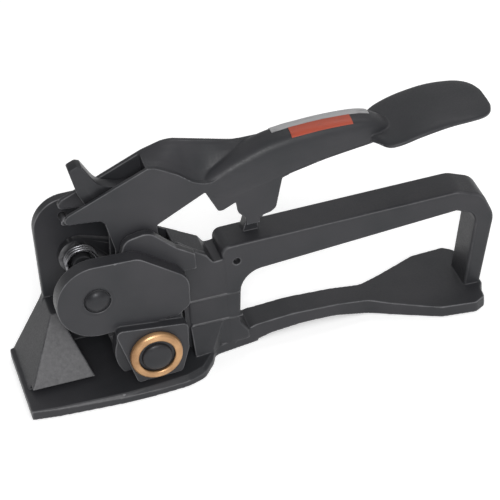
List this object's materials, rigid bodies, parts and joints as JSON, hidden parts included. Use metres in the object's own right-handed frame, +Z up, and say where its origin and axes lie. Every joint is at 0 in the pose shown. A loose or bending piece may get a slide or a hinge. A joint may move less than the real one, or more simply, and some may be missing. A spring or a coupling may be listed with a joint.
{
  "type": "strapping tensioner tool",
  "caption": "Hand-held feed-wheel tensioner for steel strap: slotted nose, knurled feed wheel on a rocker, ratchet lever with paddle grip, and a loop handle on a flat foot.",
  "frame": {"origin": "on the flat underside of the foot, on the middle plane of the tool, 160 mm behind the front edge of the nose", "axes": "+X towards the rear end with the paddle grip, +Z up, -Y towards the open side where the strap goes in"},
  "size_m": [0.3382, 0.0805, 0.1707],
  "materials": {
    "black_casting": "black oxide over a cast and ground skin, satin, soft bright edges",
    "black_steel": "black oxide, oiled, satin",
    "ground_steel": "hardened and ground",
    "spring_steel": "drawn wire",
    "bronze": "machined bronze",
    "label_silver": "silver sticker",
    "label_orange": "orange-red sticker"
  },
  "bodies": {
    "base": {"base_casting": "black_casting", "gripper_plug": "ground_steel", "plug_screw": "black_steel", "pivot_pin_near": "black_steel", "pivot_pin_far": "black_steel", "spring_anchor_pin": "ground_steel", "rocker_spring": "spring_steel"},
    "rocker": {"rocker_near_plate": "black_casting", "rocker_far_plate": "black_steel", "rocker_tie_bolt": "black_steel", "shaft_bushing_near": "bronze", "shaft_bushing_far": "bronze", "holding_pawl_stud": "black_steel", "holding_pawl_spring": "spring_steel"},
    "feed_shaft": {"feed_shaft": "black_steel", "feed_wheel_key": "ground_steel", "ratchet_key": "ground_steel", "shaft_retaining_ring": "spring_steel", "feed_wheel": "ground_steel", "ratchet_wheel": "black_steel", "shaft_spacer": "black_steel"},
    "lever": {"tension_lever": "black_casting", "drive_pawl_pin": "ground_steel", "drive_pawl_spring": "spring_steel", "label_silver": "label_silver", "label_orange": "label_orange"},
    "drive_pawl": {"drive_pawl": "black_steel"},
    "holding_pawl": {"holding_pawl": "black_steel"}
  },
  "joints": [
    {"name": "rocker_lift", "type": "hinge", "parent": "base", "child": "rocker", "pos_m": [-0.106, 0, 0.079], "axis": [0, -1, 0], "range_deg": [0, 6], "stiffness_Nm_per_rad": 8, "springref_deg": -20.05},
    {"name": "lever_swing", "type": "hinge", "parent": "rocker", "child": "lever", "pos_m": [-0.073, 0, 0.031], "axis": [0, -1, 0], "range_deg": [0, 55]},
    {"name": "feed_shaft_turn", "type": "hinge", "parent": "rocker", "child": "feed_shaft", "pos_m": [-0.073, 0, 0.031], "axis": [0, -1, 0], "continuous": true},
    {"name": "drive_pawl_release", "type": "hinge", "parent": "lever", "child": "drive_pawl", "pos_m": [-0.07, 0, 0.0975], "axis": [0, 1, 0], "range_deg": [0, 8], "stiffness_Nm_per_rad": 0.4, "springref_deg": -22.92},
    {"name": "holding_pawl_release", "type": "hinge", "parent": "rocker", "child": "holding_pawl", "pos_m": [-0.04, 0, 0.022], "axis": [0, 1, 0], "range_deg": [0, 15], "stiffness_Nm_per_rad": 0.06, "springref_deg": -28.65}
  ]
}
